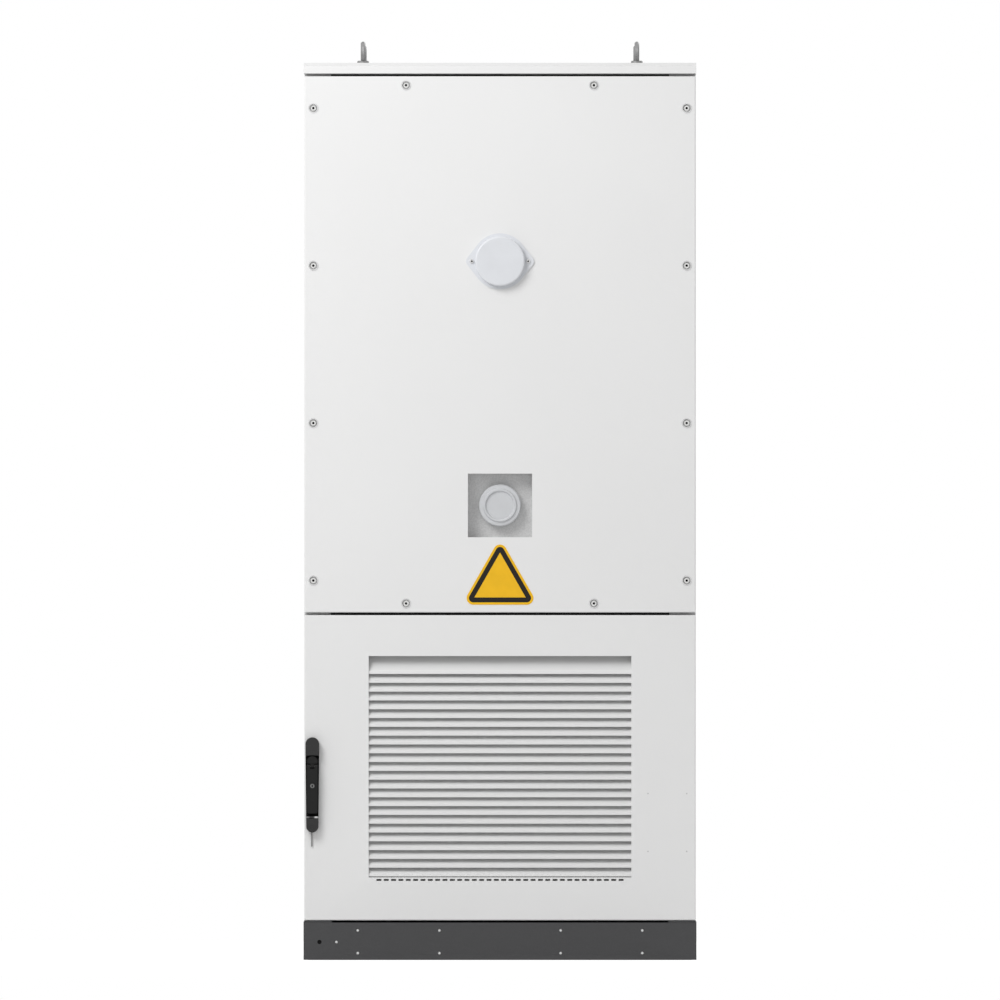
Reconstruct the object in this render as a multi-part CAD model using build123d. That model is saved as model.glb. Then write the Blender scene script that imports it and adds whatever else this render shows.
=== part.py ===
from build123d import *
import os
from math import cos, radians

# Outdoor battery cabinet. Lengths are in millimetres; the front faces -Y and +Z is up.
# The origin is on the floor, at the centre of the plinth's anchor pattern.

# ---- Overall sizes ----
WIDTH = 1000.0
DEPTH = 1100.0
PLINTH_HEIGHT = 100.0
FRAME_TOP = 2262.0

# ---- Sheet thicknesses ----
PLINTH_SHEET = 3.0
SIDE_SHEET = 4.0
FRAME_SHEET = 2.5
PANEL_SHEET = 2.0
LIGHT_SHEET = 1.5

# ---- Panels, door and the gaps between them ----
TRAY_DEPTH = 25.0
BEND_RADIUS = 3.0
FLOOR_GAP = 1.0
DOOR_TOP = 880.5
PANEL_GAP = 7.0
ROOF_GAP = 7.0
ROOF_OVERHANG = 1.5
ROOF_SLOPE_RISE = 8.0
ROOF_SLOPE_RUN = 26.0
ROOF_LIP_GAP = 2.5
ROOF_HEIGHT = 27.5

# ---- Frame ----
POST_WIDTH = 66.0
PANEL_STANDOFF = 32.0
LIP_DEPTH = 14.0
RAIL_DEPTH = 40.0
TOP_RAIL = 52.0
BOTTOM_RAIL = 25.0
REAR_BOTTOM_RAIL = 62.0
MID_RAIL_BOTTOM = 853.0
MID_RAIL_TOP = 935.0
FOAM_WIDTH = 16.0
FOAM_GAP = 0.3

# ---- Panel fasteners ----
SCREW_INSET = 23.0
SCREW_END = 81.5
SCREW_HALF_SPAN = 240.0
SCREW_ROWS = 4
SCREW_RADIUS = 3.0
SCREW_HEAD = 7.3
SCREW_SOCKET = 3.6
CUP_RADIUS = 13.0
CUP_HOLE = 11.0
NUT_RADIUS = 4.5
NUT_LENGTH = 15.0

# ---- Plinth ----
PLINTH_FRONT_TOP = 95.0
PLINTH_FLANGE = 40.0
CORNER_SIZE = 68.0
ANCHOR_INSET = 34.0
ANCHOR_RADIUS = 7.0
PLINTH_HOLE = 3.5
PLINTH_HOLE_ROWS = (17.0, 75.0)
PLINTH_HOLE_X = (154.8, 363.5)
EARTH_HOLE_INSET = 38.6
EARTH_HOLE_Z = 45.5
EARTH_HOLE = 5.4
VENT_HOLE_INSET = 82.0
FORK_WIDTH = 200.0
FORK_HEIGHT = 60.0
FORK_Y = 259.0
FORK_Z = 20.0

# ---- Cable entry ----
ENTRY_HALF_WIDTH = 200.0
ENTRY_DEPTH = 200.0
ENTRY_SETBACK = 100.0
ENTRY_LAP = 15.0
GLAND_RADIUS = 25.0
GLAND_X = 90.0

# ---- Lifting eyes ----
EYE_INSET_X = 150.0
EYE_INSET_Y = 80.0
EYE_HEIGHT = 55.0
EYE_RING = 21.0
EYE_WIRE = 6.0
EYE_COLLAR = 15.0
EYE_COLLAR_HEIGHT = 6.0
EYE_SHANK = 6.0
EYE_BLOCK = 60.0

# ---- Round vent cover on the front panel ----
VENT_Z = 1784.7
VENT_FLANGE_RADIUS = 71.4
VENT_DISC_RADIUS = 63.5
VENT_EAR_X = 72.0
VENT_EAR_RADIUS = 14.6
VENT_FLANGE = 4.0
VENT_RISE = 22.0
VENT_WALL = 3.0
VENT_BORE = 40.0
VENT_SCREW_HEAD = 5.5
VENT_SCREW_RISE = 4.0
VENT_SLOT_PITCH = 30.0
VENT_SLOT_LENGTH = 22.0
VENT_SLOT_WIDTH = 4.0
VENT_ROUNDING = 5.0

# ---- Filler recess and its cap ----
RECESS_HALF_WIDTH = 82.0
RECESS_BOTTOM = 1079.7
RECESS_TOP = 1242.2
RECESS_DEPTH = 50.0
RECESS_FLANGE = 15.0
CAP_RADIUS = 53.6
CAP_CREST = 40.0
CAP_DISH = 34.5
CAP_HEIGHT = 34.0
CAP_DISH_DEPTH = 5.0
CAP_STEP = 4.0
CAP_FLOOR_GAP = 1.5
SPIGOT_RADIUS = 45.0
SPIGOT_BORE = 38.0
SPIGOT_LENGTH = 24.0
CAP_CLEARANCE = 0.4

# ---- Blank sign plate ----
SIGN_BOTTOM = 907.3
SIGN_WIDTH = 170.7
SIGN_HEIGHT = 153.6
SIGN_CORNER = 17.0
SIGN_SHEET = 0.8
SIGN_BORDER_SHEET = 0.3
SIGN_BORDER_OUTSET = 6.0
SIGN_BORDER_WIDTH = 12.5

# ---- Door ----
WINDOW_MARGIN = 164.4
WINDOW_BOTTOM = 210.8
WINDOW_TOP = 776.2
BLADE_COUNT = 24
BLADE_PITCH = 22.495
BLADE_FIRST = 730.3
BLADE_RISE = 27.0
BLADE_FRONT = 3.0
BLADE_REAR = 26.0
BLADE_NOSE = 6.0
BLADE_LEAN = 1.6
LOUVRE_DEPTH = 33.0
HEADER_SETBACK = 21.0
SLOT_COUNT = 34
SLOT_PITCH = 18.75
SLOT_LENGTH = 13.5
SLOT_WIDTH = 5.0
SLOT_Z = 204.1
RIVET_INSETS = (122.0, 23.0)
RIVET_Z = (277.0, 425.0)
RIVET_RADIUS = 2.0
RIVET_HEAD = 0.6
RIVET_TAIL = 3.2
STIFFENER_HALF = 11.0
STIFFENER_REACH = 15.0
FILTER_DEPTH = 18.0
FILTER_RIM = 14.0
FILTER_LAP = 10.0

# ---- Hinges ----
HINGE_INSET = 12.0
HINGE_Z = (190.0, 490.0, 790.0)
KNUCKLE_RADIUS = 6.0
PIN_RADIUS = 3.0
PIN_CLEARANCE = 0.05
KNUCKLE_HALF = 10.0
KNUCKLE_GAP = 0.3
HINGE_HALF = 30.0
LEAF_SHEET = 3.0
HINGE_NOTCH = 36.0

# ---- Swing handle ----
HANDLE_INSET = 20.5
HANDLE_BOTTOM = 325.5
HANDLE_TOP = 568.5
HANDLE_HEAD_WIDTH = 35.5
HANDLE_FOOT_WIDTH = 31.0
HANDLE_BASE = 8.0
HANDLE_RISE = 22.0
TURRET_Z = 506.6
TURRET_RADIUS = 13.5
LEVER_BOTTOM = 374.0
LEVER_THICKNESS = 14.0
LEVER_LIFT = 2.0
LEVER_PIN_Z = 494.0
LEVER_PIN_RADIUS = 2.0
TONGUE_HALF = 5.0
TURRET_GAP = 0.5
HEAD_GAP = 1.5
LOCK_Z = 444.3
LOCK_RADIUS = 8.5
CATCH_TOP = 361.0
CATCH_HOLE = 3.5
CATCH_HOLE_RISE = 13.5
BAND_INSET = 2.5
BAND_HEIGHT = 4.5
SHAFT_RADIUS = 8.0
CAM_RADIUS = 15.0
CRANK_RADIUS = 10.6
CRANK_PIN = 2.5
ROD_WIDTH = 12.5
ROD_THICKNESS = 4.0
ROD_END_GAP = 10.0
UPPER_GUIDES = (620.0, 820.0)
LOWER_GUIDES = (160.0, 400.0)

# ---- Battery rack ----
MODULE_PITCH = 245.0
MODULE_BOTTOM = 945.0
MODULE_SIDE_GAP = 42.0
MODULE_HEIGHT = 225.0
MODULE_SETBACK = 138.0
MODULE_FACE_RIM = 20.0
MODULE_FACE_DEPTH = 6.0
MODULE_DEPTH = 800.0
RUNNER_LEDGE = 40.0
RUNNER_LEG = 30.0
RACK_SHEET = 3.0
RACK_ANGLE = 35.0
LINK_WIDTH = 16.0
LINK_SHEET = 3.0
CONTROL_WIDTH = 440.0
CONTROL_DEPTH = 280.0
CONTROL_HEIGHT = 55.0
CONTROL_SETBACK = 20.0

# ---- Cooler behind the door ----
COOLER_SIDE_GAP = 32.0
COOLER_SETBACK = 88.0
COOLER_DEPTH = 530.0
COIL_REAR_GAP = 60.0
COOLER_BOTTOM = 140.0
COOLER_TOP = 760.0
FAN_X = 190.0
FAN_Z = 450.0
FAN_OPENING = 140.0
FAN_TIP = 132.0
FAN_HUB = 45.0
FAN_BLADES = 7
FAN_PITCH = 28.0
FAN_DEPTH = 26.0
FAN_CHORD = 48.0
FAN_SETBACK = 6.0
MOTOR_RADIUS = 40.0
MOTOR_LENGTH = 60.0
FAN_SHAFT = 6.0
GUARD_RINGS = (50.0, 80.0, 110.0)
COIL_DEPTH = 60.0
COIL_GROOVE = 12.0
COIL_MARGIN = 30.0
COOLER_FOOT_INSET = 60.0
COOLER_FOOT_HALF = 20.0
GUARD_WIRE = 3.0
FIN_COUNT = 22

# ---- Values worked out from the sizes above ----
HALF_W = WIDTH / 2
FRONT = -DEPTH / 2
FRAME_HALF_W = HALF_W - PANEL_SHEET
FRAME_FRONT = FRONT + PANEL_STANDOFF
POST_INNER = FRAME_HALF_W - POST_WIDTH
SKIN_BACK = FRONT + PANEL_SHEET
TRAY_BACK = FRONT + TRAY_DEPTH
LIP_FRONT = FRAME_FRONT - LIP_DEPTH
ROOF_LIP_BOTTOM = FRAME_TOP + ROOF_LIP_GAP
ROOF_TOP = ROOF_LIP_BOTTOM + ROOF_HEIGHT
PAN_TOP = PLINTH_HEIGHT + PLINTH_SHEET
DOOR_BOTTOM = PLINTH_HEIGHT + FLOOR_GAP
PANEL_BOTTOM = DOOR_TOP + PANEL_GAP
PANEL_TOP = ROOF_LIP_BOTTOM - ROOF_GAP
SHELF_TOP = MID_RAIL_TOP + PLINTH_SHEET
NUT_END = FRAME_FRONT + NUT_LENGTH
CORNER_CENTRE_X = FRAME_HALF_W - CORNER_SIZE / 2
PLINTH_WEB_BACK = FRONT + PLINTH_SHEET
CORNER_CENTRE_Y = -PLINTH_WEB_BACK - CORNER_SIZE / 2
ANCHOR_X = FRAME_HALF_W - ANCHOR_INSET
ANCHOR_Y = -PLINTH_WEB_BACK - ANCHOR_INSET
EARTH_HOLE_X = EARTH_HOLE_INSET - HALF_W
VENT_HOLE_X = VENT_HOLE_INSET - HALF_W
ENTRY_REAR = -FRONT - ENTRY_SETBACK
ENTRY_FRONT = ENTRY_REAR - ENTRY_DEPTH
EYE_X = HALF_W - EYE_INSET_X
EYE_Y = -FRONT - EYE_INSET_Y
WINDOW_HALF_WIDTH = HALF_W - WINDOW_MARGIN
RIVET_X = tuple(HALF_W - inset for inset in RIVET_INSETS)
HINGE_X = HALF_W - HINGE_INSET
HINGE_Y = FRONT + HINGE_INSET
HANDLE_X = HANDLE_INSET - HALF_W
MODULE_WIDTH = 2 * (POST_INNER - MODULE_SIDE_GAP)
MODULE_FRONT = FRAME_FRONT + MODULE_SETBACK
MODULE_ROOM = FRAME_TOP - TOP_RAIL - CONTROL_HEIGHT - MODULE_BOTTOM
MODULE_COUNT = int((MODULE_ROOM + MODULE_PITCH - MODULE_HEIGHT) // MODULE_PITCH)
COOLER_HALF_WIDTH = POST_INNER - COOLER_SIDE_GAP
COOLER_FRONT = FRAME_FRONT + COOLER_SETBACK
COOLER_REAR = COOLER_FRONT + COOLER_DEPTH
BOTH = (-1, 1)


def block(x0, x1, y0, y1, z0, z1):
    """A box between two opposite corners."""
    middle = Pos((x0 + x1) / 2, (y0 + y1) / 2, (z0 + z1) / 2)
    return middle * Box(abs(x1 - x0), abs(y1 - y0), abs(z1 - z0))


def bar_x(y, z, radius, x0, x1):
    """A round bar along X."""
    return Pos((x0 + x1) / 2, y, z) * Rot(0, 90, 0) * Cylinder(radius, x1 - x0)


def bar_y(x, z, radius, y0, y1):
    """A round bar along Y."""
    return Pos(x, (y0 + y1) / 2, z) * Rot(90, 0, 0) * Cylinder(radius, y1 - y0)


def bar_z(x, y, radius, z0, z1):
    """A round bar along Z."""
    return Pos(x, y, (z0 + z1) / 2) * Cylinder(radius, z1 - z0)


def front_plate(outline, y0, y1):
    """An outline drawn in X and Z, made solid from y0 back to y1."""
    return extrude(Plane.XZ.offset(-y1) * outline, amount=y1 - y0)


def cross_bar(outline, x0, x1):
    """An outline drawn in Y and Z, made solid from x0 to x1."""
    return extrude(Plane.YZ.offset(x0) * outline, amount=x1 - x0)


def turned(points, x, z):
    """Points of radius and y, spun about an axis along Y through x and z."""
    profile = make_face(Polyline(*points, close=True))
    return Pos(x, 0, z) * revolve(profile, Axis.Y)


def ring(half_outer, half_inner, z0, z1, rim, y0, y1):
    """A rectangular frame in the X-Z plane, with its rim given for top and bottom."""
    outer = block(-half_outer, half_outer, y0, y1, z0, z1)
    return outer - block(-half_inner, half_inner, y0 - 1, y1 + 1, z0 + rim, z1 - rim)


def group(solids):
    """Separate solids kept together in one node."""
    return Compound(children=list(solids))


def save(name, shape):
    """Write one node."""
    export_step(shape, f"parts/{name}.step")


def rear_of(shape):
    """The same piece at the back of the cabinet."""
    return Rot(0, 0, 180) * shape


# ---- Plinth ----
def plinth_channel(holes):
    """A channel between the corners: an upright web with a flange at its top and bottom."""
    web = block(-FRAME_HALF_W, FRAME_HALF_W, FRONT, PLINTH_WEB_BACK, 0, PLINTH_FRONT_TOP)
    reach = FRAME_HALF_W - CORNER_SIZE - 2
    back = PLINTH_WEB_BACK + PLINTH_FLANGE
    low = block(-reach, reach, PLINTH_WEB_BACK, back, 0, PLINTH_SHEET)
    high_z = PLINTH_FRONT_TOP - PLINTH_SHEET
    high = block(-reach, reach, PLINTH_WEB_BACK, back, high_z, PLINTH_FRONT_TOP)
    channel = web + low + high
    for x, z, radius in holes:
        channel -= bar_y(x, z, radius, FRONT - 1, PLINTH_WEB_BACK + 1)
    return channel


def plinth_side():
    """The right-hand channel, with a chamfered top edge and two fork pockets."""
    end = -FRONT
    inner = FRAME_HALF_W
    outer = inner + SIDE_SHEET
    web = block(inner, outer, -end, end, 0, PLINTH_HEIGHT)
    top_edge = web.edges().filter_by(Axis.Y).sort_by(Axis.Z)[-2:].sort_by(Axis.X)[-1]
    web = chamfer(top_edge, SIDE_SHEET - 0.5)
    reach = CORNER_CENTRE_Y - CORNER_SIZE / 2 - 1
    side = web
    for z0 in (0, PLINTH_HEIGHT - PLINTH_SHEET):
        side += block(inner - PLINTH_FLANGE, inner, -reach, reach, z0, z0 + PLINTH_SHEET)
    for sy in BOTH:
        y0 = sy * FORK_Y - FORK_WIDTH / 2
        side -= block(inner - 1, outer + 1, y0, y0 + FORK_WIDTH, FORK_Z, FORK_Z + FORK_HEIGHT)
    return side


def plinth_corner():
    """A folded corner box, open towards the cabinet's centre, with its anchor hole."""
    half = CORNER_SIZE / 2
    corner = Box(CORNER_SIZE, CORNER_SIZE, PLINTH_HEIGHT)
    size = CORNER_SIZE
    space = Pos(-PLINTH_SHEET, -PLINTH_SHEET, 0) * Box(size, size, PLINTH_HEIGHT - 2 * SIDE_SHEET)
    corner -= space
    hole = Pos(half - ANCHOR_INSET, half - ANCHOR_INSET, 0)
    corner -= hole * Cylinder(ANCHOR_RADIUS, PLINTH_HEIGHT + 2)
    return Pos(CORNER_CENTRE_X, CORNER_CENTRE_Y, PLINTH_HEIGHT / 2) * corner


def in_four_corners(shape):
    """A piece at the rear right corner, repeated by mirroring at the other three."""
    right = (shape, mirror(shape, Plane.XZ))
    return right + tuple(mirror(piece, Plane.YZ) for piece in right)


def plinth():
    bolt_holes = []
    for x in PLINTH_HOLE_X:
        for z in PLINTH_HOLE_ROWS:
            bolt_holes += [(x, z, PLINTH_HOLE), (-x, z, PLINTH_HOLE)]
    extra = [(EARTH_HOLE_X, EARTH_HOLE_Z, EARTH_HOLE), (VENT_HOLE_X, EARTH_HOLE_Z, PLINTH_HOLE)]
    save("plinth_front", plinth_channel(bolt_holes + extra))
    save("plinth_rear", rear_of(plinth_channel(bolt_holes)))
    side = plinth_side()
    save("plinth_sides", group([side, mirror(side, Plane.YZ)]))
    save("plinth_corners", group(in_four_corners(plinth_corner())))


# ---- Floor of the cabinet ----
def base():
    frame_y = -FRAME_FRONT
    pan = block(-FRAME_HALF_W, FRAME_HALF_W, -frame_y, frame_y, PLINTH_HEIGHT, PAN_TOP)
    entry = (-ENTRY_HALF_WIDTH, ENTRY_HALF_WIDTH, ENTRY_FRONT, ENTRY_REAR)
    pan -= block(*entry, PLINTH_HEIGHT - 1, PAN_TOP + 1)
    for sx in BOTH:
        for sy in BOTH:
            pan -= bar_z(sx * ANCHOR_X, sy * ANCHOR_Y, ANCHOR_RADIUS, 0, PAN_TOP + 1)
    save("base_pan", pan)
    half = ENTRY_HALF_WIDTH + ENTRY_LAP
    y0 = ENTRY_FRONT - ENTRY_LAP
    y1 = ENTRY_REAR + ENTRY_LAP
    plate = block(-half, half, y0, y1, PAN_TOP, PAN_TOP + PANEL_SHEET)
    middle = (ENTRY_FRONT + ENTRY_REAR) / 2
    for sx in BOTH:
        plate -= bar_z(sx * GLAND_X, middle, GLAND_RADIUS, PAN_TOP - 1, PAN_TOP + PANEL_SHEET + 1)
    save("gland_plate", plate)


# ---- Frame ----
def screw_places(bottom, top, rows):
    """Centres of a panel's screws: a column at each side and a pair at top and bottom."""
    places = []
    step = (top - bottom - 2 * SCREW_END) / (rows - 1)
    for sx in BOTH:
        for row in range(rows):
            places.append((sx * (HALF_W - SCREW_INSET), bottom + SCREW_END + row * step))
        for z in (bottom + SCREW_INSET, top - SCREW_INSET):
            places.append((sx * SCREW_HALF_SPAN, z))
    return places


FRONT_SCREWS = screw_places(PANEL_BOTTOM, PANEL_TOP, SCREW_ROWS)
REAR_SCREWS = screw_places(DOOR_BOTTOM, PANEL_TOP, SCREW_ROWS)


def drilled(shape, places, radius, y0, y1):
    """Round holes along Y through a shape, at those of the places that lie within it."""
    box = shape.bounding_box()
    for x, z in places:
        if box.min.X < x < box.max.X and box.min.Z < z < box.max.Z:
            shape -= bar_y(x, z, radius, y0, y1)
    return shape


def post(sx, places, openings):
    """A front post: a flange behind the panel edge, a side leg and a foam lip at each opening."""
    x0 = POST_INNER
    x1 = FRAME_HALF_W
    top = FRAME_TOP
    flange = block(x0, x1, FRAME_FRONT, FRAME_FRONT + FRAME_SHEET, PAN_TOP, top)
    leg = block(x1 - FRAME_SHEET, x1, FRAME_FRONT, FRAME_FRONT + POST_WIDTH, PAN_TOP, top)
    inner = block(x0, x0 + FRAME_SHEET, FRAME_FRONT, FRAME_FRONT + POST_WIDTH / 2, PAN_TOP, top)
    shape = flange + leg + inner
    for z0, z1 in openings:
        shape += block(x0, x0 + FRAME_SHEET, LIP_FRONT, FRAME_FRONT, z0, z1)
    if sx < 0:
        shape = mirror(shape, Plane.YZ)
    return drilled(shape, places, NUT_RADIUS, FRAME_FRONT - 1, FRAME_FRONT + FRAME_SHEET + 1)


def rail(z0, z1, lips, flanges, places):
    """A front rail between the posts, with foam lips and stiffening flanges at given heights."""
    x = POST_INNER
    shape = block(-x, x, FRAME_FRONT, FRAME_FRONT + FRAME_SHEET, z0, z1)
    for z in lips:
        shape += block(-x, x, LIP_FRONT, FRAME_FRONT, z, z + FRAME_SHEET)
    for z in flanges:
        shape += block(-x, x, FRAME_FRONT, FRAME_FRONT + RAIL_DEPTH, z, z + FRAME_SHEET)
    return drilled(shape, places, NUT_RADIUS, FRAME_FRONT - 1, FRAME_FRONT + FRAME_SHEET + 1)


def frame():
    top_z = FRAME_TOP - TOP_RAIL
    low_z = PAN_TOP + BOTTOM_RAIL
    rear_low_z = PAN_TOP + REAR_BOTTOM_RAIL
    mid = (MID_RAIL_BOTTOM, MID_RAIL_TOP)
    fold = FRAME_SHEET
    front_openings = [(low_z - fold, mid[0] + fold), (mid[1] - fold, top_z + fold)]
    posts = [post(sx, FRONT_SCREWS, front_openings) for sx in BOTH]
    rear_places = [(-x, z) for x, z in REAR_SCREWS]
    rear_opening = [(rear_low_z - fold, top_z + fold)]
    posts += [rear_of(post(sx, rear_places, rear_opening)) for sx in BOTH]
    save("corner_posts", group(posts))
    front_top = rail(top_z, FRAME_TOP, [top_z], [FRAME_TOP - fold], FRONT_SCREWS)
    mid_folds = [mid[0], mid[1] - fold]
    front_mid = rail(*mid, mid_folds, mid_folds, FRONT_SCREWS)
    front_low = rail(PAN_TOP, low_z, [low_z - fold], [PAN_TOP], [])
    save("front_rails", group([front_top, front_mid, front_low]))
    rear_top = rail(top_z, FRAME_TOP, [top_z], [FRAME_TOP - fold], REAR_SCREWS)
    rear_mid = rail(*mid, [], mid_folds, [])
    rear_low = rail(PAN_TOP, rear_low_z, [rear_low_z - fold], [PAN_TOP], REAR_SCREWS)
    save("rear_rails", group([rear_of(piece) for piece in (rear_top, rear_mid, rear_low)]))
    side_rails = []
    reach = -FRAME_FRONT - POST_WIDTH
    for z0, fold_z in ((PAN_TOP, PAN_TOP), (top_z, FRAME_TOP - fold)):
        web = block(FRAME_HALF_W - fold, FRAME_HALF_W, -reach, reach, z0, z0 + TOP_RAIL)
        inward = FRAME_HALF_W - RAIL_DEPTH
        web += block(inward, FRAME_HALF_W, -reach, reach, fold_z, fold_z + fold)
        side_rails += [web, mirror(web, Plane.YZ)]
    save("side_rails", group(side_rails))
    shelf_half = POST_INNER - 2
    shelf_y = -FRAME_FRONT - FRAME_SHEET - 1
    shelf = block(-shelf_half, shelf_half, -shelf_y, shelf_y, MID_RAIL_TOP, SHELF_TOP)
    save("divider_shelf", shelf)
    strips = []
    for gap_bottom, gap_top in ((DOOR_TOP, PANEL_BOTTOM), (PANEL_TOP, FRAME_TOP)):
        z0 = gap_bottom - 8
        z1 = min(gap_top + 8, FRAME_TOP)
        strips.append(block(-POST_INNER, POST_INNER, TRAY_BACK + 1, FRAME_FRONT, z0, z1))
    save("gap_strips", group(strips))


# ---- Outer panels and roof ----
def tray(z0, z1):
    """A folded front tray: a skin with its four edges bent back."""
    outer = block(-HALF_W, HALF_W, FRONT, TRAY_BACK, z0, z1)
    outer = fillet(outer.edges().group_by(Axis.Y)[0], BEND_RADIUS)
    inner_x = HALF_W - PANEL_SHEET
    inside = block(-inner_x, inner_x, SKIN_BACK, TRAY_BACK + 1, z0 + PANEL_SHEET, z1 - PANEL_SHEET)
    return outer - fillet(inside.edges().group_by(Axis.Y)[0], BEND_RADIUS - PANEL_SHEET)


def foam(half, z0, z1, gap):
    """A foam seal on a tray's inner face, centred on the frame's lips."""
    lip = half + FRAME_SHEET / 2
    grow = FOAM_WIDTH / 2
    low = z0 + FRAME_SHEET / 2 - grow
    high = z1 - FRAME_SHEET / 2 + grow
    rim = ring(lip + grow, lip - grow, low, high, FOAM_WIDTH, SKIN_BACK, LIP_FRONT - gap)
    return rim


def panel_screw(x, z):
    """A socket screw, from its head in the cup to its end in the rivet nut."""
    seat = FRONT + 4.5
    points = [(0, FRONT - 0.5), (SCREW_HEAD - 1, FRONT - 0.5)]
    points += [(SCREW_HEAD, seat), (SCREW_RADIUS, seat), (SCREW_RADIUS, NUT_END), (0, NUT_END)]
    screw = turned(points, x, z)
    socket = front_plate(Pos(x, z) * RegularPolygon(SCREW_SOCKET, 6), FRONT - 1, FRONT + 2.5)
    return screw - socket


def screw_cup(x, z):
    """A dished cup in the skin with a distance sleeve behind it."""
    bore = SCREW_RADIUS + 0.3
    floor = FRONT + 4.5
    back = floor + 1.5
    points = [(CUP_RADIUS, FRONT - 1), (CUP_RADIUS, FRONT), (CUP_HOLE, FRONT)]
    points += [(CUP_HOLE - 1, back), (2 * bore, back), (2 * bore, FRAME_FRONT)]
    points += [(bore, FRAME_FRONT), (bore, floor)]
    points += [(SCREW_HEAD + 1, floor), (CUP_HOLE - 1, FRONT - 1)]
    return turned(points, x, z)


def rivet_nut(x, z):
    """A hexagonal rivet nut set in the frame behind each screw."""
    outline = RegularPolygon(NUT_RADIUS, 6) - Circle(SCREW_RADIUS)
    return front_plate(Pos(x, z) * outline, FRAME_FRONT, NUT_END)


def front_panel():
    panel = drilled(tray(PANEL_BOTTOM, PANEL_TOP), FRONT_SCREWS, CUP_HOLE, FRONT - 1, SKIN_BACK + 1)
    half = RECESS_HALF_WIDTH
    panel -= block(-half, half, FRONT - 1, SKIN_BACK + 1, RECESS_BOTTOM, RECESS_TOP)
    panel -= bar_y(0, VENT_Z, VENT_BORE, FRONT - 1, SKIN_BACK + 1)
    for sx in BOTH:
        panel -= bar_y(sx * VENT_EAR_X, VENT_Z, SCREW_RADIUS, FRONT - 1, SKIN_BACK + 1)
    save("front_panel", panel)


def rear_panel():
    panel = drilled(tray(DOOR_BOTTOM, PANEL_TOP), REAR_SCREWS, CUP_HOLE, FRONT - 1, SKIN_BACK + 1)
    save("rear_panel", rear_of(panel))
    low_lip = PAN_TOP + REAR_BOTTOM_RAIL - FRAME_SHEET
    high_lip = FRAME_TOP - TOP_RAIL + FRAME_SHEET
    front_seal = foam(POST_INNER, MID_RAIL_TOP - FRAME_SHEET, high_lip, 0)
    rear_seal = rear_of(foam(POST_INNER, low_lip, high_lip, 0))
    save("panel_seals", group([front_seal, rear_seal]))


def panel_fasteners():
    makers = {"panel_screws": panel_screw, "screw_cups": screw_cup, "rivet_nuts": rivet_nut}
    for name, make in makers.items():
        front = [make(x, z) for x, z in FRONT_SCREWS]
        save(name, group(front + [rear_of(make(x, z)) for x, z in REAR_SCREWS]))


def sides_and_roof():
    reach = -FRAME_FRONT
    side = block(FRAME_HALF_W, HALF_W, -reach, reach, PAN_TOP, FRAME_TOP)
    save("side_panels", group([side, mirror(side, Plane.YZ)]))
    top = block(-FRAME_HALF_W, FRAME_HALF_W, -reach, reach, FRAME_TOP, FRAME_TOP + PANEL_SHEET)
    save("top_plate", top)
    half_x = HALF_W + ROOF_OVERHANG
    half_y = -FRONT + ROOF_OVERHANG
    shoulder = ROOF_TOP - ROOF_SLOPE_RISE
    crest = half_y - ROOF_SLOPE_RUN
    skin = PANEL_SHEET
    outer = Polyline((-half_y, ROOF_LIP_BOTTOM), (-half_y, shoulder), (-crest, ROOF_TOP),
                     (crest, ROOF_TOP), (half_y, shoulder), (half_y, ROOF_LIP_BOTTOM), close=True)
    edge = half_y - skin
    inner = Polyline((-edge, ROOF_LIP_BOTTOM - 1), (-edge, shoulder - skin), (-crest, ROOF_TOP - skin),
                     (crest, ROOF_TOP - skin), (edge, shoulder - skin), (edge, ROOF_LIP_BOTTOM - 1),
                     close=True)
    roof = cross_bar(make_face(outer), -half_x, half_x)
    roof -= cross_bar(make_face(inner), skin - half_x, half_x - skin)
    for sx in BOTH:
        for sy in BOTH:
            roof -= bar_z(sx * EYE_X, sy * EYE_Y, EYE_SHANK, ROOF_TOP - 5, ROOF_TOP + 1)
    save("roof", roof)


def lifting_eye(x, y):
    """A forged eye: a ring across the cabinet's depth on a collar with a shank below."""
    collar = bar_z(x, y, EYE_COLLAR, ROOF_TOP, ROOF_TOP + EYE_COLLAR_HEIGHT)
    collar = chamfer(collar.edges().sort_by(Axis.Z)[-1], 2)
    centre_z = ROOF_TOP + EYE_HEIGHT - EYE_RING - EYE_WIRE
    section = Pos(EYE_RING, 0) * RegularPolygon(EYE_WIRE, 8, major_radius=False, rotation=22.5)
    eye = Pos(x, y, centre_z) * Rot(0, 0, 90) * revolve(section, Axis.Y)
    eye -= block(x - 20, x + 20, y - 40, y + 40, ROOF_TOP - 20, ROOF_TOP)
    shank = bar_z(x, y, EYE_SHANK, FRAME_TOP + PANEL_SHEET, ROOF_TOP)
    return collar + eye + shank


def lifting_block(x, y):
    """A threaded block between the top plate and the roof."""
    half = EYE_BLOCK / 2
    z0 = FRAME_TOP + PANEL_SHEET
    body = block(x - half, x + half, y - half, y + half, z0, ROOF_TOP - PANEL_SHEET)
    return body - bar_z(x, y, EYE_SHANK, z0 - 1, ROOF_TOP)


def lifting_gear():
    places = [(sx * EYE_X, sy * EYE_Y) for sx in BOTH for sy in BOTH]
    save("lifting_eyes", group([lifting_eye(x, y) for x, y in places]))
    save("lifting_blocks", group([lifting_block(x, y) for x, y in places]))


# ---- Fittings on the front panel ----
def vent_outline(grow):
    """A disc and two ears joined by their common tangents."""
    hull = make_hull((Circle(VENT_FLANGE_RADIUS + grow)
                      + Pos(VENT_EAR_X, 0) * Circle(VENT_EAR_RADIUS + grow)
                      + Pos(-VENT_EAR_X, 0) * Circle(VENT_EAR_RADIUS + grow)).edges())
    return Pos(0, VENT_Z) * hull


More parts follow.
